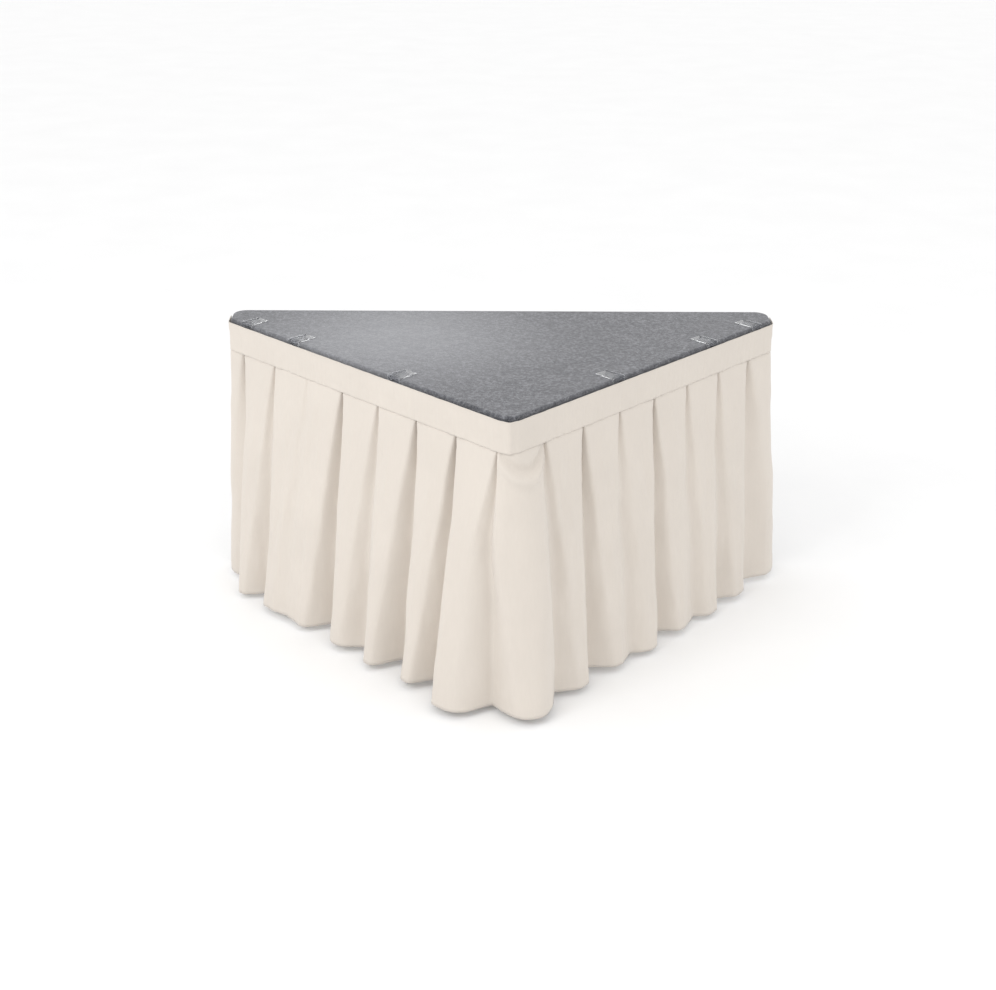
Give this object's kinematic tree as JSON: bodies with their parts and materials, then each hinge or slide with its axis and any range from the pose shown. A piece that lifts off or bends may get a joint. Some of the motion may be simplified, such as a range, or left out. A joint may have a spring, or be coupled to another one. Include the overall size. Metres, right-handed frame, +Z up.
{
  "type": "stage riser platform",
  "caption": "Triangular carpeted stage riser with a pleated skirt on its short sides, standing on telescoping plug-in legs with levelling feet.",
  "frame": {"origin": "on the floor, under the middle of the whole platform with its skirt", "axes": "+Z up, the right-angled front corner points along -Y, the long open side faces +Y and runs along X"},
  "size_m": [1.2462, 0.6986, 0.6156],
  "materials": {
    "carpet": "heathered needle-punch carpet",
    "skirt_cloth": "matt woven polyester, pleated",
    "hook_tape": "napped tape",
    "plywood": "sanded, unfinished",
    "frame_steel": "satin black powder coat",
    "plated_tube": "zinc plated",
    "zinc_steel": "bright zinc",
    "black_plastic": "fine textured nylon",
    "foot_rubber": "matt",
    "clear_plastic": "clear, glossy"
  },
  "bodies": {
    "platform": {"deck_panel": "plywood", "carpet_cover": "carpet", "rail_left": "frame_steel", "rail_right": "frame_steel", "rail_back": "frame_steel", "cross_joist": "frame_steel", "centre_joist": "frame_steel", "corner_plate_front": "frame_steel", "corner_plate_left": "frame_steel", "corner_plate_right": "frame_steel", "leg_socket_front": "frame_steel", "leg_socket_left": "frame_steel", "leg_socket_right": "frame_steel", "socket_nuts": "zinc_steel", "deck_screws": "zinc_steel", "plate_screws": "zinc_steel", "skirt_clips": "clear_plastic", "clip_pads": "hook_tape", "skirt_tape_left": "hook_tape", "skirt_tape_right": "hook_tape", "skirt_band_left": "skirt_cloth", "skirt_band_right": "skirt_cloth", "skirt_panel_left": "skirt_cloth", "skirt_panel_right": "skirt_cloth"},
    "leg_front": {"leg_tube_front": "frame_steel", "leg_cap_front": "black_plastic", "leg_collar_front": "black_plastic"},
    "inner_leg_front": {"inner_tube_front": "plated_tube", "foot_insert_front": "black_plastic", "jam_nut_front": "zinc_steel"},
    "foot_front": {"foot_pad_front": "foot_rubber"},
    "stem_front": {"foot_stem_front": "zinc_steel"},
    "clamp_front": {"clamp_knob_front": "black_plastic", "clamp_stud_front": "zinc_steel"},
    "lock_front": {"lock_knob_front": "black_plastic", "lock_stud_front": "zinc_steel"},
    "leg_left": {"leg_tube_left": "frame_steel", "leg_cap_left": "black_plastic", "leg_collar_left": "black_plastic"},
    "inner_leg_left": {"inner_tube_left": "plated_tube", "foot_insert_left": "black_plastic", "jam_nut_left": "zinc_steel"},
    "foot_left": {"foot_pad_left": "foot_rubber"},
    "stem_left": {"foot_stem_left": "zinc_steel"},
    "clamp_left": {"clamp_knob_left": "black_plastic", "clamp_stud_left": "zinc_steel"},
    "lock_left": {"lock_knob_left": "black_plastic", "lock_stud_left": "zinc_steel"},
    "leg_right": {"leg_tube_right": "frame_steel", "leg_cap_right": "black_plastic", "leg_collar_right": "black_plastic"},
    "inner_leg_right": {"inner_tube_right": "plated_tube", "foot_insert_right": "black_plastic", "jam_nut_right": "zinc_steel"},
    "foot_right": {"foot_pad_right": "foot_rubber"},
    "stem_right": {"foot_stem_right": "zinc_steel"},
    "clamp_right": {"clamp_knob_right": "black_plastic", "clamp_stud_right": "zinc_steel"},
    "lock_right": {"lock_knob_right": "black_plastic", "lock_stud_right": "zinc_steel"}
  },
  "joints": [
    {"name": "leg_front_plug", "type": "slide", "parent": "platform", "child": "leg_front", "axis": [0, 0, -1], "range_m": [0, 0.11]},
    {"name": "leg_front_telescope", "type": "slide", "parent": "leg_front", "child": "inner_leg_front", "axis": [0, 0, 1], "range_m": [0, 0.203]},
    {"name": "foot_front_level", "type": "slide", "parent": "inner_leg_front", "child": "foot_front", "axis": [0, 0, -1], "range_m": [0, 0.02]},
    {"name": "stem_front_turn", "type": "hinge", "parent": "foot_front", "child": "stem_front", "pos_m": [0, -0.17425, 0.03], "axis": [0, 0, 1], "range_deg": [0, 4800]},
    {"name": "clamp_front_turn", "type": "hinge", "parent": "platform", "child": "clamp_front", "pos_m": [0, -0.17425, 0.5], "axis": [-0.7071, 0.7071, 0], "range_deg": [0, 360]},
    {"name": "lock_front_turn", "type": "hinge", "parent": "leg_front", "child": "lock_front", "pos_m": [0, -0.17425, 0.2406], "axis": [-0.7071, 0.7071, 0], "range_deg": [0, 360]},
    {"name": "leg_left_plug", "type": "slide", "parent": "platform", "child": "leg_left", "axis": [0, 0, -1], "range_m": [0, 0.11]},
    {"name": "leg_left_telescope", "type": "slide", "parent": "leg_left", "child": "inner_leg_left", "axis": [0, 0, 1], "range_m": [0, 0.203]},
    {"name": "foot_left_level", "type": "slide", "parent": "inner_leg_left", "child": "foot_left", "axis": [0, 0, -1], "range_m": [0, 0.02]},
    {"name": "stem_left_turn", "type": "hinge", "parent": "foot_left", "child": "stem_left", "pos_m": [-0.42643, 0.25218, 0.03], "axis": [0, 0, 1], "range_deg": [0, 4800]},
    {"name": "clamp_left_turn", "type": "hinge", "parent": "platform", "child": "clamp_left", "pos_m": [-0.42643, 0.25218, 0.5], "axis": [0.7071, -0.7071, 0], "range_deg": [0, 360]},
    {"name": "lock_left_turn", "type": "hinge", "parent": "leg_left", "child": "lock_left", "pos_m": [-0.42643, 0.25218, 0.2406], "axis": [0.7071, -0.7071, 0], "range_deg": [0, 360]},
    {"name": "leg_right_plug", "type": "slide", "parent": "platform", "child": "leg_right", "axis": [0, 0, -1], "range_m": [0, 0.11]},
    {"name": "leg_right_telescope", "type": "slide", "parent": "leg_right", "child": "inner_leg_right", "axis": [0, 0, 1], "range_m": [0, 0.203]},
    {"name": "foot_right_level", "type": "slide", "parent": "inner_leg_right", "child": "foot_right", "axis": [0, 0, -1], "range_m": [0, 0.02]},
    {"name": "stem_right_turn", "type": "hinge", "parent": "foot_right", "child": "stem_right", "pos_m": [0.42643, 0.25218, 0.03], "axis": [0, 0, 1], "range_deg": [0, 4800]},
    {"name": "clamp_right_turn", "type": "hinge", "parent": "platform", "child": "clamp_right", "pos_m": [0.42643, 0.25218, 0.5], "axis": [-0.7071, -0.7071, 0], "range_deg": [0, 360]},
    {"name": "lock_right_turn", "type": "hinge", "parent": "leg_right", "child": "lock_right", "pos_m": [0.42643, 0.25218, 0.2406], "axis": [-0.7071, -0.7071, 0], "range_deg": [0, 360]}
  ],
  "couplings": [
    {"joint": "stem_front_turn", "follows": "foot_front_level", "rad_per_m": 4188.8},
    {"joint": "stem_left_turn", "follows": "foot_left_level", "rad_per_m": 4188.8},
    {"joint": "stem_right_turn", "follows": "foot_right_level", "rad_per_m": 4188.8}
  ]
}
